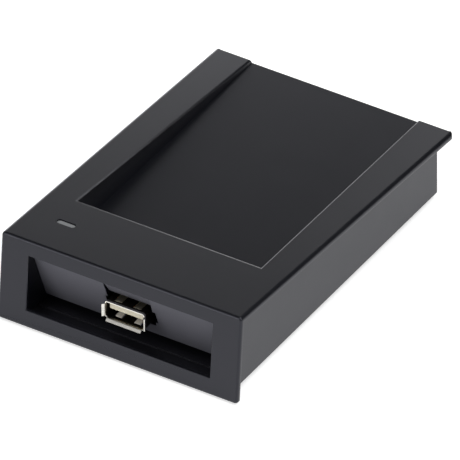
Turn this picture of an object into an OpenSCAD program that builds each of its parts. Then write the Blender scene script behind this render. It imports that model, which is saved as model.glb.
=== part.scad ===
/* [Case] */
// Width of the top plate and of the front bezel
case_w = 80; // [76:1:90]
// Length of the top plate from its front edge to its rear edge
case_l = 115; // [110:1:130]
// Distance that the bezel's foot stands out in front of the plate's front edge
face_lean = 3; // [0.4:0.2:5]
// Height of the top surface at the front edge
front_h = 28.8; // [28.2:0.2:31]
// Height of the top surface at the rear edge
rear_h = 22; // [21:0.2:23]
// Thickness of the skirt walls
wall_t = 2; // [1.6:0.1:2.4]
// Thickness of the top plate
plate_t = 1.8; // [1.5:0.1:2.2]
// Distance from the plate's edge in to the skirt wall
skirt_inset = 3.2; // [2.4:0.1:3.8]
// Radius of the plate's side edges
plate_edge_r = 1.2; // [0.6:0.1:1.6]
// Plan radius of the plate's corners
corner_r = 1.4; // [0.8:0.1:2.4]
// Thickness of the front bezel
bezel_t = 1.5; // [1.2:0.1:2]
// Clear height from the table to the bezel's lower edge
bezel_gap = 0.4; // [0.2:0.1:0.8]
// Clear height from the table to the underside of the case
underside_h = 2; // [1.6:0.1:2.4]

/* [Card bed] */
// Width of the card that the bed takes
card_w = 54; // [50:0.5:54]
// Side clearance of the card on the bed's floor
bed_side_clear = 0.9; // [0.4:0.1:1.2]
// Distance from the bezel's face back to the front end of the bed's level floor
bed_front_set = 27; // [25:0.5:30]
// Depth of the bed's floor below the top at the rear edge
bed_rear_depth = 0.9; // [0.6:0.1:1.4]
// Thickness of the bed's floor and walls
bed_t = 1.8; // [1.4:0.1:2.2]

/* [Front window] */
// Width of the bezel beside the window, on each side
window_side_w = 9.4; // [9.2:0.1:14]
// Height of the window's sill above the table
sill_h = 5.9; // [5.4:0.1:6.6]
// Height of the window's upper edge above the table
window_top_h = 23.9; // [23:0.1:24.6]
// Thickness of the recess side walls
recess_wall_t = 1.5; // [1.2:0.1:1.7]
// Thickness of the leaning panel
panel_t = 2.1; // [1.9:0.1:2.4]

/* [Socket] */
// Width of the opening in the socket shell
socket_w = 12.5; // [12.3:0.05:12.8]
// Height of the opening in the socket shell
socket_h = 5.12; // [5:0.02:5.3]
// Length of the socket shell
socket_l = 14; // [13:0.1:15]
// Sheet thickness of the socket shell
socket_t = 0.3; // [0.25:0.01:0.35]
// Height of the socket's centre above the table
socket_z = 13.4; // [13:0.1:13.8]
// Distance from the bezel's face back to the socket's face
socket_back = 3.2; // [2.6:0.1:3.6]

/* [Boards] */
// Thickness of the main circuit board
board_t = 1.6; // [1.2:0.1:1.8]
// Thickness of the antenna board
antenna_board_t = 1.2; // [0.8:0.1:1.6]
// Number of turns in the etched antenna
antenna_turns = 5; // [3:1:6]

/* [Feet] */
// Diameter of a rubber foot
foot_d = 10; // [8:0.5:11]
// Depth of the pocket that a foot is glued in
foot_pocket = 0.6; // [0.4:0.1:0.8]

/* [Hidden] */
$fn = 48;

// Overrun that carries a cut past the face it opens
over = 1;
// Clearance between mating covers
fit_gap = 0.2;
// Running clearance round a fastener's shank
shank_gap = 0.05;

front_y = -(case_l + face_lean) / 2;
rear_y = (case_l + face_lean) / 2;
head_y = front_y + face_lean;
face_rise = front_h - bezel_gap;
face_angle = atan(face_lean / face_rise);
top_angle = atan((front_h - rear_h) / case_l);
skirt_half = case_w / 2 - skirt_inset;
skirt_rear_y = rear_y - skirt_inset;
cavity_half = skirt_half - wall_t;
cavity_rear_y = skirt_rear_y - wall_t;
skirt_r = 1;
bezel_run = bezel_t / cos(face_angle);
bezel_corner_r = 1.1;

// Card bed: its walls lean out by these shares of their height
bed_side_lean_share = 0.476;
bed_front_lean_share = 0.25;
bed_half = card_w / 2 + bed_side_clear;
bed_floor_z = rear_h - bed_rear_depth;
bed_front_y = head_y + bed_front_set;
bed_under_z = bed_floor_z - bed_t;

// Front recess: the panel leans back by this share of its height
panel_lean_share = 0.362;
panel_head_set = 0.5;
panel_foot_rise = 1.2;
window_half = case_w / 2 - window_side_w;
tray_t = 2;
tray_top_z = underside_h + tray_t;
panel_head_y = back_y(window_top_h) + panel_head_set;
panel_foot_z = tray_top_z + panel_foot_rise;
panel_foot_y = panel_y(panel_foot_z);
panel_run = panel_t * sqrt(1 + panel_lean_share * panel_lean_share);

// Socket clearance hole and the scoop above it
socket_face_y = face_y(socket_z) + socket_back;
shell_w = socket_w + 2 * socket_t;
shell_h = socket_h + 2 * socket_t;
hole_side_gap = 0.9;
hole_top_gap = 1;
hole_low_gap = 1.1;
hole_half = shell_w / 2 + hole_side_gap;
hole_top_z = socket_z + shell_h / 2 + hole_top_gap;
hole_low_z = socket_z - shell_h / 2 - hole_low_gap;
rim_slot_side = 0.8;
rim_slot_half_h = 2.4;
scoop_side = 0.1;
scoop_half = hole_half + scoop_side;
scoop_top_set = 2.2;
scoop_top_z = window_top_h - scoop_top_set;
scoop_head_depth = 0.2;
scoop_foot_depth = 1.3;

// Screw bosses of the case
boss_r = 3.2;
boss_side_set = 4.6;
boss_front_set = 31.5;
boss_rear_set = 16.3;
boss_x = cavity_half - boss_side_set;
boss_front_y = head_y + boss_front_set;
boss_rear_y = cavity_rear_y - boss_rear_set;
boss_ys = [boss_front_y, boss_rear_y];
pilot_r = 1.15;
case_screw_l = 10;
screw_head_r = 2.4;
screw_head_t = 1.1;
screw_hole_r = 1.5;
head_pocket = 1.1;
boss_foot_gap = 0.1;

// Main board
board_top_z = socket_z - shell_h / 2;
board_under_z = board_top_z - board_t;
socket_overhang = 8.6;
board_l = 57.7;
board_side_gap = 1.2;
board_boss_gap = 1.4;
board_shoulder_gap = 2.8;
board_front_y = socket_face_y + socket_overhang;
board_rear_y = board_front_y + board_l;
board_shoulder_y = boss_front_y - boss_r - board_shoulder_gap;
board_wide_half = window_half - board_side_gap;
board_slim_half = boss_x - boss_r - board_boss_gap;
board_corner_r = 1;
board_hole_r = 1.35;
fix_end_set = 3.6;
fix_front_side_set = 5.4;
fix_rear_side_set = 3.2;
fix_front_x = board_wide_half - fix_front_side_set;
fix_rear_x = board_slim_half - fix_rear_side_set;
fix_front_y = board_shoulder_y - fix_end_set;
fix_rear_y = board_rear_y - fix_end_set;
board_fix = [[-fix_front_x, fix_front_y], [fix_front_x, fix_front_y],
    [-fix_rear_x, fix_rear_y], [fix_rear_x, fix_rear_y]];
post_r = 2.9;
board_screw_l = 6;
board_screw_head_r = 2.2;
board_screw_head_t = 1.3;
board_pilot_r = 0.95;

// Antenna board and its pegs
antenna_boss_gap = 2;
antenna_front_set = 1.5;
antenna_rear_set = 11.3;
antenna_w = 2 * (boss_x - boss_r - antenna_boss_gap);
antenna_front_y = bed_front_y + antenna_front_set;
antenna_rear_y = cavity_rear_y - antenna_rear_set;
antenna_l = antenna_rear_y - antenna_front_y;
antenna_y = (antenna_front_y + antenna_rear_y) / 2;
antenna_drop = 1;
antenna_top_z = bed_under_z - antenna_drop;
antenna_under_z = antenna_top_z - antenna_board_t;
peg_r = 0.95;
peg_hole_r = 1;
peg_shoulder_r = 2;
peg_tail = 0.7;
peg_inset = 3.6;
track_w = 0.8;
track_step = 1.5;
track_t = 0.1;
track_edge = 6.5;
pad_r = 0.9;

// Light pipe
pipe_l = 6;
pipe_w = 1.9;
pipe_side_set = 3.7;
pipe_front_set = 13.6;
pipe_x = pipe_side_set - window_half;
pipe_y = head_y + pipe_front_set;
pipe_set = 0.4;
pipe_gap = 0.1;
pipe_seat_drop = 3.4;
pipe_seat_z = top_z(pipe_y) - pipe_seat_drop;
pipe_collar_side = 1;
pipe_collar_t = 1;
led_l = 3.2;
led_w = 1.6;
led_t = 1.1;
led_dome_l_share = 0.7;
led_dome_w_share = 0.8;
pipe_led_gap = 0.4;

// Socket springs and contacts
spring_x = 3.15;
spring_w = 2;
spring_window_gap = 0.35;
spring_root = 1.5;
spring_l = 4.2;
spring_dip = 0.42;
spring_dip_at_share = 0.75;
spring_end_dip_share = 0.33;
spring_root_gap = 0.12;
tongue_w = 11.1;
tongue_t = 1.84;
tongue_top_gap = 0.66;
tongue_tip = 1;
insulator_block_l = 4.8;
insulator_y = socket_l - insulator_block_l;
insulator_end = 0.5;
insulator_gap = 0.04;
contact_inner_x = 1;
contact_outer_x = 3.5;
contact_xs = [-contact_outer_x, -contact_inner_x, contact_inner_x, contact_outer_x];
contact_w = 0.9;
contact_groove_w = 1.3;
contact_groove_t = 1.1;
contact_t = 0.22;

// Height of the sloping top surface at a depth y
function top_z(y) = front_h + (rear_h - front_h) * (y - head_y) / case_l;

// Depth of the leaning bezel's face, and of its back, at a height z
function face_y(z) = front_y + face_lean * (z - bezel_gap) / face_rise;
function back_y(z) = face_y(z) + bezel_run;

// Depth of the leaning panel's face at a height z
function panel_y(z) = panel_head_y + panel_lean_share * (window_top_h - z);

// Solid between x0 and x1 from points given as depth and height
module yz_slab(x0, x1, points) {
    translate([x0, 0, 0]) rotate([90, 0, 90]) linear_extrude(x1 - x0) polygon(points);
}

// Solid between y0 and y1 from points given as width and height
module xz_slab(y0, y1, points) {
    translate([0, y1, 0]) rotate([90, 0, 0]) linear_extrude(y1 - y0) polygon(points);
}

// Solid between y0 and y1 from a flat shape drawn in width and height
module xz_shape(y0, y1) {
    translate([0, y1, 0]) rotate([90, 0, 0]) linear_extrude(y1 - y0) children();
}

// Box given by its lowest and highest corners
module box(low, high) {
    translate(low) cube(high - low);
}

// Rectangle with round corners, centred
module round_rect(w, l, r) {
    square([w - 2 * r, l], center = true);
    square([w, l - 2 * r], center = true);
    for (x = [-1, 1], y = [-1, 1])
        translate([x * (w / 2 - r), y * (l / 2 - r)]) circle(r);
}

// Oblong with full round ends, long side along x
module oblong(l, w) {
    square([l - w, w], center = true);
    for (side = [-1, 1])
        translate([side * (l - w) / 2, 0]) circle(w / 2);
}

// Slab that lies parallel to the sloping top, from z0 up to a drop below it
module under_top(x_half, y0, y1, z0, drop) {
    yz_slab(-x_half, x_half,
        [[y0, z0], [y1, z0], [y1, top_z(y1) - drop], [y0, top_z(y0) - drop]]);
}

// Slab between the leaning face and y1, from z0 up to a drop below the sloping top
module front_slab(x_half, set, y1, z0, drop) {
    head_set_y = face_y(front_h - drop) + set;
    yz_slab(-x_half, x_half, [[face_y(z0) + set, z0], [y1, z0], [y1, top_z(y1) - drop],
        [head_set_y, top_z(head_set_y) - drop]]);
}

// The bed's space, grown outwards and downwards for the tub round it
module bed_space(grow, drop) {
    floor_z = bed_floor_z - drop;
    high_z = front_h + over;
    rise = high_z - floor_z;
    foot_half = bed_half + grow - bed_side_lean_share * drop;
    head_half = foot_half + bed_side_lean_share * rise;
    foot_y = bed_front_y - grow + bed_front_lean_share * drop;
    head_y = foot_y - bed_front_lean_share * rise;
    intersection() {
        xz_slab(head_y - over, rear_y + over,
            [[-foot_half, floor_z], [foot_half, floor_z], [head_half, high_z], [-head_half, high_z]]);
        yz_slab(-head_half - over, head_half + over,
            [[foot_y, floor_z], [rear_y + over, floor_z], [rear_y + over, high_z], [head_y, high_z]]);
    }
}

// Four places taken by something that stands in each quarter
module at_bosses() {
    for (side = [-1, 1], y = boss_ys)
        translate([side * boss_x, y, 0]) children();
}

module at_pegs() {
    for (side = [-1, 1], end = [-1, 1])
        translate([side * (antenna_w / 2 - peg_inset), antenna_y + end * (antenna_l / 2 - peg_inset), 0])
            children();
}

// Everything under the sloping top, with the plate's side edges rounded
module plate_space() {
    round_half = case_w / 2 - plate_edge_r;
    translate([0, head_y, front_h]) rotate([-top_angle, 0, 0])
        xz_shape(-face_lean - 2 * over, case_l + 2 * over) {
            translate([-case_w / 2, -2 * front_h]) square([case_w, 2 * front_h - plate_edge_r]);
            translate([-round_half, -2 * front_h]) square([2 * round_half, 2 * front_h]);
            for (side = [-1, 1])
                translate([side * round_half, -plate_edge_r]) circle(plate_edge_r);
        }
}

module cover_outside() {
    slab_front_y = front_y - 2 * over;
    intersection() {
        plate_space();
        union() {
            intersection() {
                front_slab(case_w / 2 + over, bezel_t / 2, rear_y + over, underside_h, -over);
                union() {
                    linear_extrude(front_h + over) translate([0, (skirt_rear_y + slab_front_y) / 2])
                        round_rect(2 * skirt_half, skirt_rear_y - slab_front_y, skirt_r);
                    difference() {
                        linear_extrude(front_h + over) translate([0, (rear_y + slab_front_y) / 2])
                            round_rect(case_w, rear_y - slab_front_y, corner_r);
                        under_top(case_w, slab_front_y - over, rear_y + over, -over, plate_t);
                    }
                }
            }
            translate([0, front_y, bezel_gap]) rotate([-face_angle, 0, 0])
                xz_shape(0, bezel_t) translate([0, front_h]) round_rect(case_w, 2 * front_h, bezel_corner_r);
        }
    }
}

module recess_block() {
    side_foot_z = tray_top_z + fit_gap;
    outer_half = window_half + recess_wall_t;
    head_back_y = panel_head_y + panel_run;
    foot_back_y = panel_foot_y + panel_run;
    skin = bezel_t / 2;
    yz_slab(-outer_half, outer_half, [[face_y(panel_foot_z) + skin, panel_foot_z],
        [foot_back_y, panel_foot_z], [head_back_y, window_top_h], [head_back_y, front_h],
        [face_y(front_h) + skin, front_h]]);
    for (side = [-1, 1])
        yz_slab(side * (window_half + recess_wall_t / 2) - recess_wall_t / 2,
            side * (window_half + recess_wall_t / 2) + recess_wall_t / 2,
            [[face_y(side_foot_z) + skin, side_foot_z], [foot_back_y, side_foot_z],
            [foot_back_y, panel_foot_z + over], [face_y(panel_foot_z + over) + skin, panel_foot_z + over]]);
}

module recess_space() {
    low_z = underside_h - over;
    hole_back_y = panel_foot_y + panel_run + over;
    scoop_head_y = panel_y(scoop_top_z) + scoop_head_depth;
    scoop_foot_y = panel_y(hole_top_z) + scoop_foot_depth;
    yz_slab(-window_half, window_half, [[front_y - over, sill_h], [back_y(sill_h), sill_h],
        [back_y(low_z), low_z], [panel_foot_y, low_z], [panel_foot_y, panel_foot_z],
        [panel_head_y, window_top_h], [front_y - over, window_top_h]]);
    yz_slab(-scoop_half, scoop_half, [[scoop_head_y, scoop_top_z],
        [panel_head_y, scoop_top_z], [panel_head_y, hole_top_z - over],
        [scoop_foot_y, hole_top_z - over], [scoop_foot_y, hole_top_z]]);
    box([-hole_half, panel_head_y, hole_low_z], [hole_half, hole_back_y, hole_top_z]);
    box([-hole_half - rim_slot_side, panel_head_y, socket_z - rim_slot_half_h],
        [hole_half + rim_slot_side, hole_back_y, socket_z + rim_slot_half_h]);
}

module cover_cavity() {
    difference() {
        front_slab(cavity_half, bezel_run, cavity_rear_y, underside_h - over, plate_t);
        bed_space(bed_t, bed_t);
        recess_block();
        at_bosses() translate([0, 0, tray_top_z + boss_foot_gap]) cylinder(front_h, r = boss_r);
        translate([pipe_x, pipe_y, pipe_seat_z]) linear_extrude(front_h)
            oblong(pipe_l + 2 * pipe_collar_side + wall_t, pipe_w + 2 * pipe_collar_side + wall_t);
        at_pegs() {
            translate([0, 0, antenna_top_z]) cylinder(antenna_drop + bed_t / 2, r = peg_shoulder_r);
            translate([0, 0, antenna_under_z - peg_tail])
                cylinder(antenna_board_t + peg_tail + antenna_drop, r = peg_r);
        }
    }
}

module top_cover() {
    color([0.22, 0.22, 0.235])
    difference() {
        cover_outside();
        cover_cavity();
        bed_space(0, 0);
        recess_space();
        at_bosses() translate([0, 0, underside_h]) cylinder(case_screw_l + over, r = pilot_r);
        translate([pipe_x, pipe_y, pipe_seat_z - over]) linear_extrude(front_h)
            oblong(pipe_l + 2 * pipe_gap, pipe_w + 2 * pipe_gap);
    }
}

// Base tray
step_h = 0.8;
tray_half = cavity_half - fit_gap;
tray_front_y = back_y(tray_top_z + step_h) + fit_gap;
tray_rear_y = cavity_rear_y - fit_gap;
lip_t = 1.2;
lip_h = 3.4;
step_l = 2.4;
rib_l = 1.2;
rib_h = 0.5;
rib_set = 4.6;
lip_front_gap = 0.5;
foot_side_set = 9.8;
foot_end_set = 11.5;
foot_x = skirt_half - foot_side_set;
foot_front_y = head_y + foot_end_set;
foot_rear_y = rear_y - foot_end_set;
foot_rise = 0.5;
foot_pocket_gap = 0.2;
plate_w = 44;
plate_l = 26;
plate_sheet_t = 0.25;
plate_pocket = 0.35;
plate_shift = 8;
plate_y = (foot_front_y + foot_rear_y) / 2 + plate_shift;
plate_r = 2;

module foot_at(side, y) {
    translate([side * foot_x, y, 0]) children();
}

module base_tray() {
    lip_front_y = panel_foot_y + panel_run + lip_front_gap;
    color([0.17, 0.17, 0.18])
    difference() {
        union() {
            box([-tray_half, tray_front_y, underside_h], [tray_half, tray_rear_y, tray_top_z]);
            difference() {
                box([-tray_half, lip_front_y, underside_h], [tray_half, tray_rear_y, tray_top_z + lip_h]);
                box([-tray_half + lip_t, lip_front_y + lip_t, tray_top_z],
                    [tray_half - lip_t, tray_rear_y - lip_t, tray_top_z + lip_h + over]);
                for (y = boss_ys)
                    box([-tray_half - over, y - boss_r - fit_gap, tray_top_z],
                        [tray_half + over, y + boss_r + fit_gap, tray_top_z + lip_h + over]);
            }
            box([-window_half + fit_gap, tray_front_y, tray_top_z - wall_t / 2],
                [window_half - fit_gap, tray_front_y + step_l, tray_top_z + step_h]);
            box([-window_half + fit_gap, tray_front_y + rib_set, tray_top_z - wall_t / 2],
                [window_half - fit_gap, tray_front_y + rib_set + rib_l, tray_top_z + rib_h]);
            for (place = board_fix)
                translate([place.x, place.y, underside_h]) cylinder(board_under_z - underside_h, r = post_r);
        }
        for (place = board_fix)
            translate([place.x, place.y, board_top_z - board_screw_l])
                cylinder(board_screw_l, r = board_pilot_r);
        at_bosses() {
            translate([0, 0, underside_h - over]) cylinder(tray_t + 2 * over, r = screw_hole_r);
            translate([0, 0, underside_h - over]) cylinder(head_pocket + over, r = screw_head_r + fit_gap);
        }
        for (side = [-1, 1], y = [foot_front_y, foot_rear_y])
            foot_at(side, y) translate([0, 0, underside_h - over])
                cylinder(foot_pocket + over, r = foot_d / 2 + foot_pocket_gap);
        translate([0, plate_y, underside_h - over]) linear_extrude(plate_pocket + over)
            round_rect(plate_w + 2 * fit_gap, plate_l + 2 * fit_gap, plate_r);
    }
}

module rating_plate() {
    color([0.75, 0.75, 0.76])
    translate([0, plate_y, underside_h + plate_pocket - plate_sheet_t]) linear_extrude(plate_sheet_t)
        round_rect(plate_w, plate_l, plate_r);
}

module rubber_foot() {
    foot_h = underside_h + foot_pocket;
    color([0.1, 0.1, 0.1]) {
        cylinder(foot_rise, r1 = foot_d / 2 - foot_rise, r2 = foot_d / 2);
        translate([0, 0, foot_rise]) cylinder(foot_h - foot_rise, r = foot_d / 2);
    }
}

module foot_front_left() { foot_at(-1, foot_front_y) rubber_foot(); }
module foot_front_right() { foot_at(1, foot_front_y) rubber_foot(); }
module foot_rear_left() { foot_at(-1, foot_rear_y) rubber_foot(); }
module foot_rear_right() { foot_at(1, foot_rear_y) rubber_foot(); }

// Pan-head screw with its head at z 0 pointing down and its shank up
head_crown_share = 0.72;
slot_w_share = 0.33;
slot_l_share = 1.2;

module screw(shank_l, shank_r, head_r, head_t) {
    slot_w = head_r * slot_w_share;
    slot_l = head_r * slot_l_share;
    difference() {
        union() {
            translate([0, 0, -head_t]) cylinder(head_t / 2, r1 = head_r * head_crown_share, r2 = head_r);
            translate([0, 0, -head_t / 2]) cylinder(head_t / 2, r = head_r);
            cylinder(shank_l - shank_r, r = shank_r);
            translate([0, 0, shank_l - shank_r]) cylinder(shank_r, r1 = shank_r, r2 = shank_r / 4);
        }
        for (turn = [0, 90])
            rotate(turn) translate([-slot_l / 2, -slot_w / 2, -head_t - over])
                cube([slot_l, slot_w, over + head_t / 2]);
    }
}

module case_screws() {
    color([0.7, 0.7, 0.68])
    at_bosses() translate([0, 0, underside_h + head_pocket])
        screw(case_screw_l - head_pocket - fit_gap, pilot_r - shank_gap, screw_head_r, screw_head_t);
}

module board_screws() {
    color([0.7, 0.7, 0.68])
    for (place = board_fix)
        translate([place.x, place.y, board_top_z]) rotate([180, 0, 0])
            screw(board_screw_l - fit_gap, board_pilot_r - shank_gap, board_screw_head_r, board_screw_head_t);
}

// Main board, with its outline wide at the front and slim under the card bed
led_at = [pipe_x, pipe_y];
pin_r = 0.3;
pin_hole_r = 0.5;
pin_tail = 1;

// Place on the main board, from shares of its slim half width and of its length
function board_spot(shares) =
    [shares.x * board_slim_half, board_front_y + shares.y * board_l];

buzzer_r = 4.5;
buzzer_h = 5.5;
buzzer_hole_r = 1;
buzzer_hole_t = 1.5;
buzzer_ring_r = 3.4;
buzzer_ring_t = 0.4;
buzzer_pin_x = 2.5;
buzzer_socket_gap = 0.8;
buzzer_fix_set = 10;
buzzer_at = [fix_front_x - buzzer_fix_set, socket_face_y + socket_l + buzzer_socket_gap + buzzer_r];
leg_w = 2;
leg_back_set = 4;
leg_y = socket_l - leg_back_set;
leg_gap = 0.2;
leg_tail = 0.8;
tail_t = 0.25;
tail_w = 0.6;
tail_back_set = 1.55;
tail_y = socket_l - tail_back_set;
tail_hole_r = 0.5;
header_step = 2.54;
header_pins = 4;
header_pin_w = 0.64;
header_pin_hole_r = 0.52;
header_body_w = 2.5;
header_body_h = 2.6;
header_rear_set = 7;
header_at = [0, board_rear_y - header_rear_set];
crystal_shares = [0.566, 0.463];
crystal_at = board_spot(crystal_shares);
crystal_l = 11;
crystal_w = 4.5;
crystal_h = 3.4;
crystal_base_h = 0.5;
crystal_rim = 0.25;
crystal_pin_x = 2.44;
capacitor_r = 3.1;
capacitor_h = 5.4;
capacitor_base = 6.6;
capacitor_base_h = 0.9;
capacitor_neck = 0.15;
capacitor_neck_h = 0.5;
capacitor_front_set = 15.8;
capacitor_at = [-(shell_w / 2 + fix_front_x - board_screw_head_r) / 2,
    socket_face_y + capacitor_front_set];

module board_outline() {
    translate([0, (board_front_y + board_shoulder_y) / 2])
        round_rect(2 * board_wide_half, board_shoulder_y - board_front_y, board_corner_r);
    translate([0, (board_front_y + board_rear_y) / 2])
        round_rect(2 * board_slim_half, board_rear_y - board_front_y, board_corner_r);
}

// Places in the socket's own frame, whose origin is the middle of its face
module at_socket() {
    translate([0, socket_face_y, socket_z]) children();
}

module at_header_pins() {
    for (i = [0:header_pins - 1])
        translate([header_at.x + (i - (header_pins - 1) / 2) * header_step, header_at.y, 0]) children();
}

module main_board() {
    color([0.05, 0.3, 0.16])
    difference() {
        translate([0, 0, board_under_z]) linear_extrude(board_t) board_outline();
        translate([0, 0, board_under_z - over]) {
            for (place = board_fix)
                translate(place) cylinder(board_t + 2 * over, r = board_hole_r);
            for (x = contact_xs)
                translate([x, socket_face_y + tail_y + tail_t / 2, 0])
                    cylinder(board_t + 2 * over, r = tail_hole_r);
            for (side = [-1, 1])
                translate([buzzer_at.x + side * buzzer_pin_x, buzzer_at.y, 0])
                    cylinder(board_t + 2 * over, r = pin_hole_r);
            for (side = [-1, 1])
                translate([crystal_at.x + side * crystal_pin_x, crystal_at.y, 0])
                    cylinder(board_t + 2 * over, r = pin_hole_r);
            at_header_pins() cylinder(board_t + 2 * over, r = header_pin_hole_r);
            for (side = [-1, 1])
                translate([side * (shell_w - socket_t) / 2 - socket_t / 2 - leg_gap,
                    socket_face_y + leg_y - leg_gap, 0])
                    cube([socket_t + 2 * leg_gap, leg_w + 2 * leg_gap, board_t + 2 * over]);
        }
    }
}

// Flared edge of the shell: a bend outwards and a flat rim that stands forward of the mouth
flare_r = 0.5;
flare_angle = 45;
flare_l = 0.75;
flare_side_h = 4.2;
flare_low_w = 11.6;
shell_r = 0.75;
shell_bore_r = 0.45;
shell_low_cut_set = 2.6;
shell_low_cut_y = socket_l - shell_low_cut_set;
shell_low_cut_half = 5.2;

module flare() {
    steps = 4;
    rim = [flare_l * sin(flare_angle), -flare_l * cos(flare_angle)];
    inner = [for (i = [0:steps]) let (a = 180 + flare_angle * i / steps)
        [flare_r + (flare_r + socket_t) * cos(a), (flare_r + socket_t) * sin(a)]];
    outer = [for (i = [steps:-1:0]) let (a = 180 + flare_angle * i / steps)
        [flare_r + flare_r * cos(a), flare_r * sin(a)]];
    polygon(concat(inner, [inner[steps] + rim, outer[0] + rim], outer));
}

module spring_windows() {
    for (side = [-1, 1], x = [-spring_x, spring_x])
        box([x - spring_w / 2 - spring_window_gap, spring_root,
            side > 0 ? socket_h / 2 - over / 2 : -shell_h / 2 - over],
            [x + spring_w / 2 + spring_window_gap, spring_root + spring_l + 2 * spring_window_gap,
            side > 0 ? shell_h / 2 + over : -socket_h / 2 + over / 2]);
}

module usb_shell() {
    color([0.8, 0.79, 0.76])
    at_socket() {
        difference() {
            xz_shape(0, socket_l) round_rect(shell_w, shell_h, shell_r);
            xz_shape(-over, socket_l - socket_t) round_rect(socket_w, socket_h, shell_bore_r);
            spring_windows();
            box([-shell_low_cut_half, shell_low_cut_y, -shell_h],
                [shell_low_cut_half, socket_l + over, -socket_h / 2 + over / 2]);
        }
        for (side = [0, 1])
            mirror([side, 0, 0]) {
                translate([shell_w / 2, 0, -flare_side_h / 2]) linear_extrude(flare_side_h) flare();
                box([shell_w / 2 - socket_t, leg_y, -shell_h / 2 - board_t - leg_tail],
                    [shell_w / 2, leg_y + leg_w, -socket_h / 4]);
            }
        translate([-flare_low_w / 2, 0, -shell_h / 2]) rotate([0, 90, 0]) linear_extrude(flare_low_w) flare();
    }
}

// One pair of plug springs on the upper side, cut from the shell's sheet and dipped into the opening
module plug_spring_pair() {
    root_y = spring_root + spring_root_gap;
    dip_y = root_y + spring_dip_at_share * spring_l;
    end_y = root_y + spring_l;
    z0 = socket_h / 2;
    end_z = z0 - spring_end_dip_share * spring_dip;
    for (x = [-spring_x, spring_x])
        yz_slab(x - spring_w / 2, x + spring_w / 2, [[root_y, z0], [dip_y, z0 - spring_dip],
            [end_y, end_z], [end_y, end_z + socket_t],
            [dip_y, z0 - spring_dip + socket_t], [root_y, z0 + socket_t]]);
}

module upper_plug_springs() {
    color([0.8, 0.79, 0.76]) at_socket() plug_spring_pair();
}

module lower_plug_springs() {
    color([0.8, 0.79, 0.76]) at_socket() rotate([0, 180, 0]) plug_spring_pair();
}

tongue_top = socket_h / 2 - tongue_top_gap;
tongue_low = tongue_top - tongue_t;
groove_tip = 0.6;
leaf_root_gap = 0.15;
leaf_root_y = insulator_y - leaf_root_gap;
leaf_root_rise = 0.5;
leaf_dip = 0.4;
leaf_tip_rise = 0.1;
leaf_dip_y = 3.6;
leaf_tip_y = 2.3;
tail_root_gap = 0.025;
tail_root_y = insulator_y + tail_root_gap;
tail_low_z = -shell_h / 2 - board_t - pin_tail;
channel_gap = 0.12;

module usb_insulator() {
    tail_z = tongue_low + leaf_root_rise;
    color([0.86, 0.82, 0.7])
    at_socket() difference() {
        union() {
            xz_shape(tongue_tip, insulator_y + over) translate([0, (tongue_top + tongue_low) / 2])
                round_rect(tongue_w, tongue_t, insulator_end / 2);
            xz_shape(insulator_y, socket_l - socket_t - insulator_gap)
                round_rect(socket_w - 2 * insulator_gap, socket_h - 2 * insulator_gap, shell_bore_r);
        }
        for (x = contact_xs) {
            box([x - contact_groove_w / 2, tongue_tip + groove_tip, tongue_low - over],
                [x + contact_groove_w / 2, insulator_y, tongue_low + contact_groove_t]);
            box([x - contact_groove_w / 2, insulator_y - over, tail_z - channel_gap],
                [x + contact_groove_w / 2, tail_y + tail_t + channel_gap, tail_z + tail_t + channel_gap]);
            box([x - contact_groove_w / 2, tail_y - channel_gap, -socket_h],
                [x + contact_groove_w / 2, tail_y + tail_t + channel_gap, tail_z + tail_t]);
        }
    }
}

module usb_contact_leaves() {
    color([0.83, 0.68, 0.35])
    at_socket() for (x = contact_xs)
        yz_slab(x - contact_w / 2, x + contact_w / 2, [
            [leaf_root_y, tongue_low + leaf_root_rise], [leaf_dip_y, tongue_low - leaf_dip],
            [leaf_tip_y, tongue_low + leaf_tip_rise], [leaf_tip_y, tongue_low + leaf_tip_rise + contact_t],
            [leaf_dip_y, tongue_low - leaf_dip + contact_t],
            [leaf_root_y, tongue_low + leaf_root_rise + contact_t]]);
}

module usb_contact_tails() {
    tail_z = tongue_low + leaf_root_rise;
    color([0.83, 0.68, 0.35])
    at_socket() for (x = contact_xs)
        yz_slab(x - tail_w / 2, x + tail_w / 2, [[tail_root_y, tail_z], [tail_y, tail_z],
            [tail_y, tail_low_z], [tail_y + tail_t, tail_low_z], [tail_y + tail_t, tail_z + tail_t],
            [tail_root_y, tail_z + tail_t]]);
}

module light_pipe() {
    low_z = board_top_z + led_t + pipe_led_gap;
    color([0.8, 0.82, 0.82])
    intersection() {
        translate([pipe_x, pipe_y, 0]) {
            translate([0, 0, low_z]) linear_extrude(front_h) oblong(pipe_l, pipe_w);
            translate([0, 0, pipe_seat_z - pipe_collar_t]) linear_extrude(pipe_collar_t)
                oblong(pipe_l + 2 * pipe_collar_side, pipe_w + 2 * pipe_collar_side);
        }
        under_top(case_w / 2, front_y, rear_y, 0, pipe_set);
    }
}

module status_led() {
    rim_t = led_t / 2;
    color([0.9, 0.9, 0.82])
    translate([led_at.x, led_at.y, board_top_z]) {
        translate([0, 0, rim_t / 2]) cube([led_l, led_w, rim_t], center = true);
        translate([0, 0, rim_t]) linear_extrude(led_t - rim_t) 
            oblong(led_l * led_dome_l_share, led_w * led_dome_w_share);
    }
}

module buzzer() {
    color([0.06, 0.06, 0.065])
    translate([buzzer_at.x, buzzer_at.y, board_top_z]) {
        difference() {
            cylinder(buzzer_h, r = buzzer_r);
            translate([0, 0, buzzer_h - buzzer_hole_t]) cylinder(buzzer_hole_t + over, r = buzzer_hole_r);
            translate([0, 0, buzzer_h - buzzer_ring_t]) difference() {
                cylinder(buzzer_ring_t + over, r = buzzer_ring_r);
                cylinder(buzzer_ring_t + over, r = buzzer_ring_r - buzzer_ring_t);
            }
        }
        for (side = [-1, 1])
            translate([side * buzzer_pin_x, 0, -board_t - pin_tail])
                cylinder(board_t + pin_tail + buzzer_hole_t, r = pin_r);
    }
}

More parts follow.
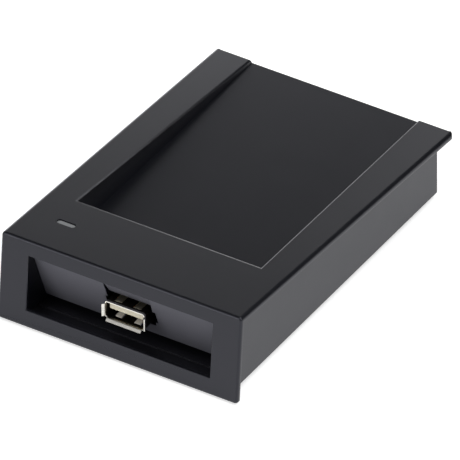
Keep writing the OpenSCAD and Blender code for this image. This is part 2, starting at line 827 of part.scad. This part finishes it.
// Surface-mounted chip: body, and a row of gull-wing leads on the sides asked for
lead_t = 0.15;
chip_stand = 0.1;
lead_height_share = 0.45;
lead_knee_share = 0.35;
lead_foot_share = 0.55;
lead_heel_share = 0.45;
lead_bend_share = 0.25;

module leaded_chip(w, l, h, rows, leads, step, lead_w, reach) {
    lead_z = h * lead_height_share;
    translate([-w / 2, -l / 2, chip_stand]) cube([w, l, h - chip_stand]);
    for (turn = rows, i = [0:leads - 1]) {
        half = (turn % 180 == 0 ? w : l) / 2;
        rotate(turn) translate([0, (i - (leads - 1) / 2) * step, 0])
            translate([0, lead_w / 2, 0]) rotate([90, 0, 0]) linear_extrude(lead_w)
                polygon([[half - lead_t, lead_z], [half + reach * lead_knee_share, lead_z],
                    [half + reach * lead_foot_share, lead_t], [half + reach, lead_t], [half + reach, 0],
                    [half + reach * lead_heel_share, 0],
                    [half + reach * lead_bend_share, lead_z - lead_t], [half - lead_t, lead_z - lead_t]]);
    }
}

chip_shares = [0, 0.471];
chip_at = board_spot(chip_shares);
chip_w = 7;
chip_h = 1.5;
chip_lead_count = 8;
chip_step = 0.8;
chip_lead_w = 0.36;
chip_reach = 1;
reader_shares = [-0.547, 0.636];
reader_at = board_spot(reader_shares);
reader_w = 3.9;
reader_l = 9.9;
reader_h = 1.6;
reader_lead_count = 8;
reader_step = 1.27;
reader_lead_w = 0.5;
reader_reach = 1.05;
regulator_shares = [0.547, 0.653];
regulator_at = board_spot(regulator_shares);
regulator_w = 3.5;
regulator_l = 6.5;
regulator_h = 1.6;
regulator_lead_count = 3;
regulator_step = 2.3;
regulator_lead_w = 0.8;
regulator_reach = 1.7;
regulator_tab_w = 3;

module microcontroller() {
    color([0.09, 0.09, 0.1])
    translate([chip_at.x, chip_at.y, board_top_z])
        leaded_chip(chip_w, chip_w, chip_h, [0, 90, 180, 270], chip_lead_count, chip_step, chip_lead_w,
            chip_reach);
}

module reader_chip() {
    color([0.09, 0.09, 0.1])
    translate([reader_at.x, reader_at.y, board_top_z])
        leaded_chip(reader_w, reader_l, reader_h, [0, 180], reader_lead_count, reader_step, reader_lead_w,
            reader_reach);
}

module voltage_regulator() {
    color([0.09, 0.09, 0.1])
    translate([regulator_at.x, regulator_at.y, board_top_z]) {
        leaded_chip(regulator_w, regulator_l, regulator_h, [0], regulator_lead_count, regulator_step,
            regulator_lead_w, regulator_reach);
        leaded_chip(regulator_w, regulator_l, regulator_h, [180], 1, regulator_step, regulator_tab_w,
            regulator_reach);
    }
}

module crystal() {
    color([0.78, 0.78, 0.8])
    translate([crystal_at.x, crystal_at.y, board_top_z]) {
        linear_extrude(crystal_base_h) oblong(crystal_l, crystal_w);
        linear_extrude(crystal_h) oblong(crystal_l - 2 * crystal_rim, crystal_w - 2 * crystal_rim);
        for (side = [-1, 1])
            translate([side * crystal_pin_x, 0, -board_t - pin_tail])
                cylinder(board_t + pin_tail + crystal_base_h, r = pin_r);
    }
}

module filter_capacitor() {
    color([0.75, 0.76, 0.78])
    translate([capacitor_at.x, capacitor_at.y, board_top_z]) {
        translate([-capacitor_base / 2, -capacitor_base / 2, 0])
            cube([capacitor_base, capacitor_base, capacitor_base_h]);
        difference() {
            cylinder(capacitor_h, r = capacitor_r);
            translate([0, 0, capacitor_base_h + capacitor_neck_h]) difference() {
                cylinder(capacitor_neck_h, r = capacitor_r + over);
                cylinder(capacitor_neck_h, r = capacitor_r - capacitor_neck);
            }
        }
    }
}

resistor_l = 1.6;
resistor_w = 0.8;
resistor_h = 0.45;
resistor_shares = [[-0.86, 0.08], [-0.78, 0.29], [-0.31, 0.27], [0.31, 0.31], [0.43, 0.32],
    [0.78, 0.32], [-0.31, 0.58], [-0.23, 0.83], [0.23, 0.64], [0.74, 0.77], [-0.78, 0.83]];
ceramic_l = 2;
ceramic_w = 1.25;
ceramic_h = 0.9;
ceramic_shares = [[-0.35, 0.22], [-0.16, 0.35], [0.16, 0.35], [0.31, 0.57], [0.78, 0.54],
    [0.31, 0.76], [-0.78, 0.75], [-0.35, 0.75], [-0.78, 0.48]];

module chip_row(shares, l, w, h) {
    for (share = shares)
        translate(board_spot(share)) translate([0, 0, board_top_z + h / 2])
            cube([l, w, h], center = true);
}

module chip_resistors() {
    color([0.12, 0.12, 0.13]) chip_row(resistor_shares, resistor_l, resistor_w, resistor_h);
}

module chip_capacitors() {
    color([0.62, 0.5, 0.36]) chip_row(ceramic_shares, ceramic_l, ceramic_w, ceramic_h);
}

module antenna_board() {
    color([0.05, 0.3, 0.16])
    difference() {
        translate([0, antenna_y, antenna_under_z]) linear_extrude(antenna_board_t)
            round_rect(antenna_w, antenna_l, board_corner_r);
        translate([0, 0, antenna_under_z - over]) {
            at_pegs() cylinder(antenna_board_t + 2 * over, r = peg_hole_r);
            at_header_pins() cylinder(antenna_board_t + 2 * over, r = header_pin_hole_r);
        }
    }
}

// Etched spiral on the underside of the antenna board, and its return strip on the upper side
module antenna_track() {
    outer_x = antenna_w / 2 - track_edge;
    outer_y = antenna_l / 2 - track_edge;
    last = antenna_turns * track_step;
    lead_x = header_step * (header_pins - 1) / 2;
    color([0.8, 0.5, 0.3]) {
        translate([0, antenna_y, antenna_under_z - track_t]) linear_extrude(track_t) {
            for (i = [0:antenna_turns - 1]) {
                reach_x = outer_x - i * track_step;
                reach_y = outer_y - i * track_step;
                track([-reach_x, -reach_y], [reach_x, -reach_y]);
                track([reach_x, -reach_y], [reach_x, reach_y]);
                track([reach_x, reach_y], [-reach_x + track_step, reach_y]);
                track([-reach_x + track_step, reach_y], [-reach_x + track_step, -reach_y + track_step]);
            }
            track([-outer_x + last, -outer_y + last], [-lead_x - pad_r * 2, -outer_y + last]);
            track([-lead_x - pad_r * 2, -outer_y + last], [-lead_x - pad_r * 2, header_at.y - antenna_y]);
        }
        translate([0, antenna_y, antenna_top_z]) linear_extrude(track_t) {
            track([-outer_x, -outer_y], [-outer_x, header_at.y - antenna_y + track_step * 2]);
            track([-outer_x, header_at.y - antenna_y + track_step * 2],
                [lead_x, header_at.y - antenna_y + track_step * 2]);
        }
    }
}

// Straight track between two points that lie along x or y
module track(from, to) {
    low = [min(from.x, to.x), min(from.y, to.y)];
    high = [max(from.x, to.x), max(from.y, to.y)];
    translate(low - [track_w, track_w] / 2) square(high - low + [track_w, track_w]);
}

module antenna_header() {
    pin_low_z = board_under_z - pin_tail;
    pin_high_z = antenna_top_z + antenna_drop / 2;
    color([0.1, 0.1, 0.1]) {
        translate([header_at.x - header_pins * header_step / 2, header_at.y - header_body_w / 2, board_top_z])
            cube([header_pins * header_step, header_body_w, header_body_h]);
        at_header_pins() box([-header_pin_w / 2, -header_pin_w / 2, pin_low_z],
            [header_pin_w / 2, header_pin_w / 2, pin_high_z]);
    }
}

top_cover();
base_tray();
rating_plate();
foot_front_left();
foot_front_right();
foot_rear_left();
foot_rear_right();
case_screws();
board_screws();
main_board();
usb_shell();
usb_insulator();
usb_contact_leaves();
usb_contact_tails();
upper_plug_springs();
lower_plug_springs();
light_pipe();
status_led();
buzzer();
microcontroller();
reader_chip();
crystal();
voltage_regulator();
filter_capacitor();
chip_resistors();
chip_capacitors();
antenna_board();
antenna_track();
antenna_header();
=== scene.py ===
"""A small black smart card reader on a pale floor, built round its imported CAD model."""

import math

import bmesh
import bpy
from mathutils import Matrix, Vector

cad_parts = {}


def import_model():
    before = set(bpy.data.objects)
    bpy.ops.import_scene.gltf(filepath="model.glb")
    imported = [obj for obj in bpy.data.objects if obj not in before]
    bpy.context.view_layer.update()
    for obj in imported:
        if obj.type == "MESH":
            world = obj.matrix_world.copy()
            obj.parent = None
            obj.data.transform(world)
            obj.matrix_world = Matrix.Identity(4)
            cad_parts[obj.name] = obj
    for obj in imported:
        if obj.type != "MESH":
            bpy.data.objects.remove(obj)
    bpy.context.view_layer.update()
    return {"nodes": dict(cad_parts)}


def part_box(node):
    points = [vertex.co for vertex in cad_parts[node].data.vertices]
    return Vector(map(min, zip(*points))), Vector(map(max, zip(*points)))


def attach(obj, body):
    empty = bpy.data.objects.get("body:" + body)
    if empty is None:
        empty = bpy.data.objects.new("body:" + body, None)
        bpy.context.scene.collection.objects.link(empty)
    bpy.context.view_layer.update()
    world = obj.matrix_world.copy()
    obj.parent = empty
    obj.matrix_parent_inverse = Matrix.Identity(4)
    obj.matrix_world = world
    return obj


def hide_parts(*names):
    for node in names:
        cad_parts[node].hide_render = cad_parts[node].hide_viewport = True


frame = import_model()

MM = 0.001
IMAGE_SIDE = 460

# Edges that turn by less than this stay smooth and get no rounding
SHARP_ANGLE = math.radians(28.0)

# Forms of the cover, in millimetres of the CAD frame
WINDOW_HALF = 30.6
WINDOW_TOP = 23.9
WINDOW_FLOOR = 5.0
PLATE_FRONT_Y = -56.0
PANEL_HEAD_Y = -54.505
PANEL_LEAN = 0.362
RAMP_TOP = 21.7
RAMP_HALF = 7.35
RAMP_HEAD_DEPTH = 0.2
RAMP_LEAN = 0.248
BED_HALF = 31.5
BED_FRONT_Y = -31.0
BED_LEAST_Z = 22.5
FACE_REACH = 0.15

# Inner half width and half height of the socket's shell, a little past its inner faces
SHELL_HALF_W = 6.28
SHELL_HALF_H = 2.59

# How far an integrated circuit's leads stand out of its moulding along X and Y
LEAD_REACH = {"microcontroller": (1.0, 1.0), "reader_chip": (1.05, 0.0), "voltage_regulator": (1.7, 0.0)}

# Levels of light: the room, the room's front left, the floor's own glow, and plain white
ROOM_LEVEL = 0.05
FRONT_LEVEL = 0.5
FLOOR_GLOW = (0.54, 0.54, 0.54, 1.0)
WHITE = (1.0, 1.0, 1.0, 1.0)
BLACK = (0.0, 0.0, 0.0, 1.0)


def box_mm(node):
    """Lowest and highest corner of a CAD node, in millimetres."""
    return tuple(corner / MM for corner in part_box(node))


COVER_LOW, COVER_HIGH = box_mm("top_cover")


class Term:
    """A socket of a node tree that takes part in plain arithmetic."""

    def __init__(self, shade, socket):
        self.shade = shade
        self.socket = socket

    def math(self, operation, *others):
        return self.shade.term("ShaderNodeMath", 0, [self, *others], operation=operation)

    def __add__(self, other):
        return self.math("ADD", other)

    def __sub__(self, other):
        return self.math("SUBTRACT", other)

    def __mul__(self, other):
        return self.math("MULTIPLY", other)

    def __truediv__(self, other):
        return self.math("DIVIDE", other)

    def __radd__(self, other):
        return self.math("ADD", other)

    def __rmul__(self, other):
        return self.math("MULTIPLY", other)

    def __rsub__(self, other):
        return self.shade.term("ShaderNodeMath", 0, [other, self], operation="SUBTRACT")

    def __rtruediv__(self, other):
        return self.shade.term("ShaderNodeMath", 0, [other, self], operation="DIVIDE")

    def __abs__(self):
        return self.math("ABSOLUTE")

    def most(self, other):
        return self.math("MAXIMUM", other)

    def above(self, other):
        return self.math("GREATER_THAN", other)

    def below(self, other):
        return self.math("LESS_THAN", other)

    def fraction(self):
        return self.math("FRACT")

    def ramp(self, low, high, start=0.0, end=1.0):
        """Runs smoothly from start to end while this value goes from low to high."""
        return self.shade.term("ShaderNodeMapRange", 0, [self, low, high, start, end],
                               interpolation_type="SMOOTHSTEP")


class Shade:
    """The node tree of a material or world under construction."""

    def __init__(self, owner):
        owner.use_nodes = True
        self.owner = owner
        self.tree = owner.node_tree
        self.tree.nodes.clear()

    def add(self, kind, inputs=(), **settings):
        node = self.tree.nodes.new(kind)
        for key, value in settings.items():
            setattr(node, key, value)
        for key, value in inputs.items() if isinstance(inputs, dict) else enumerate(inputs):
            self.feed(node.inputs[key], value)
        return node

    def feed(self, socket, value):
        """Links a term to a socket, or sets the socket to a plain value."""
        if isinstance(value, Term):
            self.tree.links.new(value.socket, socket)
        else:
            socket.default_value = value

    def term(self, kind, output, inputs=(), **settings):
        return Term(self, self.add(kind, inputs, **settings).outputs[output])

    def mix(self, factor, first, second):
        """The colour that runs from first to second as factor goes from 0 to 1."""
        colours = {0: factor, 6: first, 7: second}
        return self.term("ShaderNodeMix", 2, colours, data_type="RGBA", clamp_factor=True)

    def rays(self, *kinds):
        """1 for each kind of ray that is named, such as Camera."""
        path = self.add("ShaderNodeLightPath")
        terms = [Term(self, path.outputs[f"Is {kind} Ray"]) for kind in kinds]
        seen = terms[0]
        for other in terms[1:]:
            seen = seen.most(other)
        return seen


class Finish(Shade):
    """A material under construction, with the place on its piece in millimetres as x, y and z."""

    def __init__(self, name):
        super().__init__(bpy.data.materials.new(name))
        self.place = self.term("ShaderNodeTexCoord", "Object")
        parts = self.add("ShaderNodeSeparateXYZ", [self.place])
        self.x, self.y, self.z = (Term(self, part) * (1.0 / MM) for part in parts.outputs)

    def noise(self, size_mm, detail=2.0, rough=0.5, stretch=(1.0, 1.0, 1.0)):
        """Noise from 0 to 1 whose features are about size_mm across."""
        place = self.place
        if stretch != (1.0, 1.0, 1.0):
            place = self.term("ShaderNodeVectorMath", 0, [place, stretch], operation="MULTIPLY")
        return self.term("ShaderNodeTexNoise", 0, {"Vector": place, "Scale": 1.0 / MM / size_mm,
                                                   "Detail": detail, "Roughness": rough})

    def cells(self, size_mm):
        """Distance to the nearest cell point, with cells about size_mm across."""
        return self.term("ShaderNodeTexVoronoi", 0, {"Vector": self.place, "Scale": 1.0 / MM / size_mm})

    def bump(self, height, distance_mm, strength=1.0):
        return self.term("ShaderNodeBump", 0, {"Height": height, "Distance": distance_mm * MM,
                                               "Strength": strength})

    def principled(self, **inputs):
        """The finished material, with one Principled shader that gets these values and terms."""
        named = {key.replace("_", " "): value for key, value in inputs.items()}
        self.add("ShaderNodeOutputMaterial", {"Surface": self.term("ShaderNodeBsdfPrincipled", 0, named)})
        return self.owner


def srgb(red, green, blue):
    """The linear colour of an sRGB triple given from 0 to 255."""
    def line(c):
        c = c / 255.0
        return c / 12.92 if c <= 0.04045 else ((c + 0.055) / 1.055) ** 2.4
    return (line(red), line(green), line(blue), 1.0)


def moulded_black(name, tone, roughness, grain_mm=0.22, grain_depth_mm=0.006, matt=None):
    """Fine-textured black plastic: spark-eroded grain, faint cloudiness and a softly varying gloss.

    matt, if given, takes the shade and returns 1 where the moulding has a duller texture and a lighter
    grey, which is painted light for the light that reaches it."""
    s = Finish(name)
    cloud = s.noise(26.0, detail=3.0)
    grain = s.noise(grain_mm, detail=1.0)
    speck = s.cells(grain_mm * 2.2)
    wear = s.noise(7.0, detail=4.0, rough=0.6)
    low = tuple(c * 0.86 for c in tone[:3]) + (1.0,)
    high = tuple(c * 1.16 for c in tone[:3]) + (1.0,)
    height = grain * 0.6 + speck * 0.4
    colour = s.mix(cloud * 0.7 + grain * 0.3, low, high)
    dull = roughness + (wear - 0.5) * 0.07 + (grain - 0.5) * 0.06
    if matt:
        # Painted light where matt gives 1: the lighter grey stands in for the light on the panel inside
        # the shaded window; the added roughness is the duller texture.
        share = matt(s)
        colour = s.mix(share, colour, srgb(92, 92, 99))
        dull = dull + share * 0.25
    return s.principled(
        Base_Color=colour,
        Roughness=dull,
        Specular_Tint=(0.86, 0.87, 1.0, 1.0),
        Normal=s.bump(height, grain_depth_mm, 0.8))


def leaning_panel_painted_light(s):
    """1 on the leaning panel and on the ramp cut into it over the socket, 0 elsewhere on the cover. Where
    it is 1 the cover gets painted light, a lighter grey.
    """
    behind = s.y - ((WINDOW_TOP - s.z) * PANEL_LEAN + PANEL_HEAD_Y)
    ramp_depth = (RAMP_TOP - s.z) * RAMP_LEAN + RAMP_HEAD_DEPTH
    panel = abs(s.x).below(WINDOW_HALF - 0.1) * abs(behind).below(FACE_REACH)
    ramp = abs(s.x).below(RAMP_HALF) * abs(behind - ramp_depth).below(FACE_REACH)
    return panel.most(ramp) * s.z.above(WINDOW_FLOOR) * s.z.below(WINDOW_TOP)


def shell_painted_shade(s):
    """1 on the inner faces of the socket's shell, and on its outer ones inside the case's hole, where the
    nickel gets painted shade.
    """
    tongue_end, top = box_mm("usb_insulator")
    mouth = box_mm("usb_shell")[0]
    middle_z = (tongue_end.z + top.z) / 2
    inner = abs(s.x).below(SHELL_HALF_W) * abs(s.z - middle_z).below(SHELL_HALF_H)
    deep = inner * s.y.ramp(tongue_end.y - 1.4, tongue_end.y - 0.2)
    return deep.most(s.y.ramp(mouth.y + 1.3, mouth.y + 2.2))


def rubber():
    s = Finish("foot_rubber")
    dust = s.noise(1.6, detail=4.0, rough=0.65)
    pores = s.noise(0.18, detail=1.0)
    return s.principled(
        Base_Color=s.mix(dust.ramp(0.45, 0.75), srgb(30, 30, 31), srgb(47, 47, 48)),
        Roughness=0.74 + dust * 0.12,
        Normal=s.bump(pores, 0.02, 0.7))


def bright_nickel(name, tone, roughness, dull=None, metallic=1.0):
    """Plated sheet metal with rolling lines along its length and faint handling marks.

    dull, if given, takes the shade and returns 1 where the metal gets painted shade, a dark colour for
    the shadow in its hollows, and a rougher finish.
    A metallic share under 1 lets the plating also scatter light; with a whiter tone this paints in the
    bright glints of the lower springs."""
    s = Finish(name)
    lines = s.noise(0.12, detail=2.0, stretch=(1.0, 0.06, 1.0))
    smudge = s.noise(2.4, detail=3.0, rough=0.6)
    dim = tuple(c * 0.82 for c in tone[:3]) + (1.0,)
    colour = s.mix(smudge.ramp(0.35, 0.75), tone, dim)
    rough = roughness + (lines - 0.5) * 0.12 + smudge * 0.08
    if dull:
        # Painted shade where dull gives 1: the dark colour stands in for the shadow deep inside the
        # socket's shell; the added roughness is the finish.
        share = dull(s)
        colour = s.mix(share, colour, srgb(44, 40, 36))
        rough = rough + share * 0.15
    return s.principled(
        Base_Color=colour,
        Metallic=metallic,
        Roughness=rough,
        Normal=s.bump(lines, 0.004, 0.6))


def cream_plastic():
    s = Finish("tongue_plastic")
    blush = s.noise(1.8, detail=3.0)
    return s.principled(
        Base_Color=s.mix(blush, srgb(222, 212, 186), srgb(235, 228, 208)),
        Roughness=0.42 + blush * 0.1,
        Subsurface_Weight=0.05,
        Normal=s.bump(s.noise(0.15, detail=1.0), 0.004, 0.5))


def frosted_clear():
    s = Finish("light_pipe_acrylic")
    haze = s.noise(0.35, detail=2.0)
    depth = s.noise(2.0, detail=1.0)
    return s.principled(
        Base_Color=s.mix(depth, srgb(150, 152, 154), srgb(176, 178, 180)),
        Roughness=0.3 + haze * 0.16,
        Transmission_Weight=0.25,
        IOR=1.49,
        Normal=s.bump(haze, 0.01, 0.6))


def blank_label():
    s = Finish("label_stock")
    fibre = s.noise(0.3, detail=3.0, stretch=(1.0, 0.35, 1.0))
    return s.principled(
        Base_Color=s.mix(fibre, srgb(196, 197, 198), srgb(212, 213, 214)),
        Metallic=0.25,
        Roughness=0.36 + fibre * 0.12,
        Normal=s.bump(fibre, 0.004, 0.6))


def laminate():
    """Green circuit board: solder resist over a weave, with pale traces that run along X and Y."""
    s = Finish("circuit_laminate")
    weave = (s.x * 2.6).math("SINE") * (s.y * 2.6).math("SINE")
    lanes_x = abs((s.x / 1.9 + s.noise(9.0, detail=0.0).ramp(0.45, 0.55, 0.0, 2.0)).fraction() - 0.5)
    lanes_y = abs((s.y / 2.3 + s.noise(12.0, detail=0.0).ramp(0.45, 0.55, 0.0, 2.0)).fraction() - 0.5)
    region = s.noise(8.0, detail=0.0).above(0.5)
    trace = (lanes_x.below(0.12) * region).most(lanes_y.below(0.1) * (1.0 - region))
    return s.principled(
        Base_Color=s.mix(trace * 0.75, s.mix(weave * 0.25 + 0.4, srgb(10, 62, 36), srgb(16, 78, 46)),
                         srgb(34, 112, 66)),
        Roughness=0.3 + s.noise(3.0) * 0.14,
        Normal=s.bump(trace * 0.7 + weave * 0.08, 0.035, 0.8))


def plain_resin(name, dark, light, roughness, size_mm=0.3):
    s = Finish(name)
    grain = s.noise(size_mm, detail=2.0)
    patch = s.noise(size_mm * 9.0, detail=2.0)
    return s.principled(
        Base_Color=s.mix(grain * 0.5 + patch * 0.5, dark, light),
        Roughness=roughness + (patch - 0.5) * 0.12,
        Normal=s.bump(grain, 0.008, 0.7))


def chip_moulding(name, node):
    """Black chip resin on the moulding, tinned metal on the leads that stand out of it."""
    low, high = box_mm(node)
    centre = (low + high) / 2
    body = (high - low) / 2 - Vector((*LEAD_REACH[node], 0.0)) + Vector((0.01, 0.01, 0.0))
    s = Finish(name)
    lead = abs(s.x - centre.x).above(body.x).most(abs(s.y - centre.y).above(body.y))
    grain = s.noise(0.16, detail=2.0)
    return s.principled(
        Base_Color=s.mix(lead, s.mix(grain, srgb(30, 30, 32), srgb(46, 46, 49)), srgb(192, 192, 190)),
        Metallic=lead,
        Roughness=(grain * 0.14 + 0.5) - lead * 0.22,
        Normal=s.bump(grain, 0.01, 0.6))


def floor_white():
    """Matt white floor whose glow makes it white to camera, glossy and transmission rays.

    Farther out, where the lamps don't reach, rays that see it directly get the full glow."""
    s = Finish("studio_floor")
    tone = s.mix(s.noise(400.0, detail=2.0), srgb(238, 238, 238), srgb(242, 242, 242))
    reach = (s.x * s.x + s.y * s.y).math("SQRT")
    glow = s.mix(reach.ramp(250.0, 1100.0) * s.rays("Camera", "Transmission"), FLOOR_GLOW, WHITE)
    return s.principled(
        Base_Color=tone,
        Roughness=0.9,
        Specular_IOR_Level=0.0,
        Emission_Color=s.mix(s.rays("Camera", "Transmission", "Glossy"), BLACK, glow),
        Emission_Strength=1.0)


def cover_share(edge):
    """The share of the cover's rounding that an edge gets.

    The bezel's outline gets all of it, the bed's front edge a little more, the bed's side edges half,
    and the window and the plate's own edges a third. Short and inner edges stay sharp."""
    if edge.calc_face_angle_signed(0.0) < SHARP_ANGLE:
        return 0.0
    ends = [vert.co / MM for vert in edge.verts]
    middle = (ends[0] + ends[1]) / 2
    on_face = all(abs(end.y - bezel_y(end.z)) < 0.06 for end in ends)
    in_window = abs(middle.x) < WINDOW_HALF + 0.5 and WINDOW_FLOOR < middle.z < WINDOW_TOP + 0.6
    if on_face and not in_window:
        return 1.0
    if edge.calc_length() < 4.0 * MM:
        return 0.0
    if abs(middle.x) < BED_HALF and middle.y > BED_FRONT_Y and middle.z > BED_LEAST_Z:
        return 1.1 if abs(middle.x) < 5.0 else 0.55
    outside = abs(middle.x) > 36.0 or abs(middle.y) > 55.0 or in_window
    return 0.35 if outside else 0.0


def bezel_y(z):
    """Depth in mm of the leaning bezel's face at a height z in mm."""
    rise = (z - COVER_LOW.z) / (COVER_HIGH.z - COVER_LOW.z)
    return COVER_LOW.y + (PLATE_FRONT_Y - COVER_LOW.y) * rise


def placed(name, data):
    """A new object in the scene that holds a mesh, a lamp or a camera."""
    made = bpy.data.objects.new(name, data)
    bpy.context.collection.objects.link(made)
    return made


def skin(node, body, slot, edge_mm, material, segments=3, share=None):
    """A copy of a CAD node's mesh, cleaned to whole faces, with its sharp edges rounded.

    share, if given, returns what part of edge_mm an edge is rounded by."""
    source = frame["nodes"][node]
    mesh = source.data.copy()
    mesh.name = node + "_skin"
    work = bmesh.new()
    work.from_mesh(mesh)
    bmesh.ops.remove_doubles(work, verts=work.verts, dist=0.002 * MM)
    bmesh.ops.dissolve_limit(work, angle_limit=math.radians(1.0), verts=work.verts, edges=work.edges)
    for face in work.faces:
        face.smooth = True
    if share:
        weight = work.edges.layers.float.new("bevel_weight_edge")
        for edge in work.edges:
            edge[weight] = share(edge)
            edge.smooth = edge[weight] > 0.0 or edge.calc_face_angle(0.0) < SHARP_ANGLE
    work.to_mesh(mesh)
    work.free()
    mesh.materials.clear()
    mesh.materials.append(material)
    piece = placed(node + "_skin", mesh)
    bevel = piece.modifiers.new("edges", "BEVEL")
    bevel.width = edge_mm * MM
    bevel.segments = segments
    bevel.limit_method = "WEIGHT" if share else "ANGLE"
    bevel.angle_limit = SHARP_ANGLE
    bevel.use_clamp_overlap = not share
    flat = piece.modifiers.new("flat_faces", "WEIGHTED_NORMAL")
    flat.mode = "FACE_AREA"
    flat.weight = 100
    flat.keep_sharp = True
    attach(piece, body)
    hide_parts(node)


# The leaning panel and its ramp get painted light, a lighter grey.
abs_black = moulded_black("cover_plastic", srgb(10, 11, 16), 0.34, matt=leaning_panel_painted_light)
abs_base = moulded_black("tray_plastic", srgb(13, 13, 16), 0.42)
# The shell's insides get painted shade.
nickel = bright_nickel("shell_nickel", srgb(232, 229, 222), 0.2, dull=shell_painted_shade)
spring_nickel = bright_nickel("spring_nickel", srgb(204, 196, 176), 0.42)
# Painted highlight: the whiter, partly scattering plating of the lower springs stands in for the glints
# on their dimples.
spring_glint_nickel = bright_nickel("matt_spring_nickel", srgb(244, 240, 232), 0.5, metallic=0.3)
steel = bright_nickel("screw_zinc", srgb(176, 174, 168), 0.3)
gold = bright_nickel("contact_gold", srgb(206, 166, 94), 0.24)
tin = bright_nickel("tail_tin", srgb(200, 198, 192), 0.32)
can = bright_nickel("can_nickel", srgb(205, 204, 200), 0.24)
board_green = laminate()
foot_rubber = rubber()

PIECES = [
    ("top_cover", "case", "black_abs", 0.85, abs_black, 4, cover_share),
    ("base_tray", "case", "black_abs_base", 0.2, abs_base),
    ("rating_plate", "case", "blank_label", 0.04, blank_label()),
    ("foot_front_left", "case", "rubber", 0.3, foot_rubber),
    ("foot_front_right", "case", "rubber", 0.3, foot_rubber),
    ("foot_rear_left", "case", "rubber", 0.3, foot_rubber),
    ("foot_rear_right", "case", "rubber", 0.3, foot_rubber),
    ("case_screws", "case", "screw_steel", 0.08, steel),
    ("board_screws", "case", "screw_steel", 0.08, steel),
    ("main_board", "case", "green_laminate", 0.06, board_green),
    ("usb_shell", "case", "nickel_plate", 0.08, nickel),
    ("usb_insulator", "case", "cream_plastic", 0.1, cream_plastic()),
    ("usb_contact_leaves", "contact_leaves", "gold_plate", 0.03, gold),
    ("usb_contact_tails", "case", "tinned_copper", 0.03, tin),
    ("upper_plug_springs", "upper_springs", "nickel_plate", 0.05, spring_nickel),
    ("lower_plug_springs", "lower_springs", "nickel_plate", 0.05, spring_glint_nickel),
    ("light_pipe", "case", "frosted_clear", 0.12, frosted_clear()),
    ("status_led", "case", "led_resin", 0.08,
     plain_resin("led_resin", srgb(226, 222, 196), srgb(240, 238, 220), 0.3)),
    ("buzzer", "case", "black_moulding", 0.15,
     plain_resin("buzzer_moulding", srgb(20, 20, 21), srgb(32, 32, 33), 0.5)),
    ("microcontroller", "case", "chip_resin", 0.04, chip_moulding("controller_resin", "microcontroller")),
    ("reader_chip", "case", "chip_resin", 0.04, chip_moulding("reader_resin", "reader_chip")),
    ("voltage_regulator", "case", "chip_resin", 0.04,
     chip_moulding("regulator_resin", "voltage_regulator")),
    ("crystal", "case", "nickel_can", 0.15, can),
    ("filter_capacitor", "case", "aluminium_can", 0.12, can),
    ("chip_resistors", "case", "resistor_black", 0.04,
     plain_resin("resistor_glaze", srgb(26, 26, 28), srgb(40, 40, 43), 0.35)),
    ("chip_capacitors", "case", "ceramic_tan", 0.06,
     plain_resin("ceramic_body", srgb(150, 124, 92), srgb(176, 150, 116), 0.45)),
    ("antenna_board", "case", "green_laminate", 0.06, board_green),
    ("antenna_track", "case", "copper", 0.02, bright_nickel("etched_copper", srgb(214, 132, 88), 0.3)),
    ("antenna_header", "case", "black_moulding", 0.06,
     plain_resin("header_moulding", srgb(20, 20, 21), srgb(34, 34, 35), 0.48)),
]

for row in PIECES:
    skin(*row)


def floor():
    half = 7.0
    mesh = bpy.data.meshes.new("floor")
    mesh.from_pydata([(-half, -half, 0), (half, -half, 0), (half, half, 0), (-half, half, 0)], [],
                     [(0, 1, 2, 3)])
    mesh.materials.append(floor_white())
    placed("floor", mesh)


def soft_light(name, place, aim, size, watts):
    """A soft box of the given width and height that looks from place to aim."""
    lamp = bpy.data.lights.new(name, "AREA")
    lamp.shape = "RECTANGLE"
    lamp.size, lamp.size_y = size
    lamp.energy = watts
    made = placed(name, lamp)
    made.location = place
    made.rotation_euler = (Vector(aim) - Vector(place)).to_track_quat("-Z", "Y").to_euler()
    made.visible_camera = False


def world():
    """A dim room, half lit at the front left, with a low white backdrop behind the object.

    Camera and transmission rays see white all round, glossy rays the backdrop and the room past it."""
    made = bpy.data.worlds.new("studio")
    s = Shade(made)
    toward = s.add("ShaderNodeSeparateXYZ", [s.term("ShaderNodeTexCoord", "Generated")])
    x, y, z = (Term(s, part) for part in toward.outputs)
    toward_front = x * -0.6 + y * -0.8
    toward_back = x * -0.53 + y * 0.85
    room = toward_front.ramp(0.2, 0.6, ROOM_LEVEL, FRONT_LEVEL)
    backdrop = toward_back.ramp(0.65, 0.9) * z.ramp(0.06, 0.14, 1.0, 0.0)
    white = s.rays("Camera", "Transmission").most(s.rays("Glossy") * backdrop)
    level = room + (1.0 - room) * white
    back = s.term("ShaderNodeBackground", 0, {"Color": WHITE, "Strength": level})
    s.add("ShaderNodeOutputWorld", {"Surface": back})
    bpy.context.scene.world = made


def camera():
    """The photograph's viewpoint, from a fit of the case's corners and edges."""
    focal_px = 16000.0
    centre_px = (230.3, 230.01)
    lens = bpy.data.cameras.new("photo_camera")
    lens.sensor_width = 36.0
    lens.lens = focal_px / IMAGE_SIDE * lens.sensor_width
    lens.shift_x = (IMAGE_SIDE / 2 - centre_px[0]) / IMAGE_SIDE
    lens.shift_y = (centre_px[1] - IMAGE_SIDE / 2) / IMAGE_SIDE
    lens.clip_start = 0.05
    lens.clip_end = 50.0
    made = placed("photo_camera", lens)
    made.location = (1.94912, -3.10466, 2.71623)
    made.rotation_euler = tuple(math.radians(a) for a in (53.5547, 0.3921, 31.814))
    bpy.context.scene.camera = made


floor()
world()
camera()
soft_light("overhead", (0.35, 0.15, 1.25), (0, 0, 0), (0.8, 0.8), 7.0)
soft_light("rear_left", (-0.2, 0.33, 0.1), (0, 0, 0.02), (0.45, 0.2), 0.52)
soft_light("right_low", (0.5, -0.1, 0.4), (0.1, 0.05, 0), (0.4, 0.4), 1.5)
soft_light("front_fill", (-0.5, -1.2, 0.5), (0, 0, 0.02), (0.7, 0.5), 4.6)
bpy.context.scene.view_settings.view_transform = "Standard"
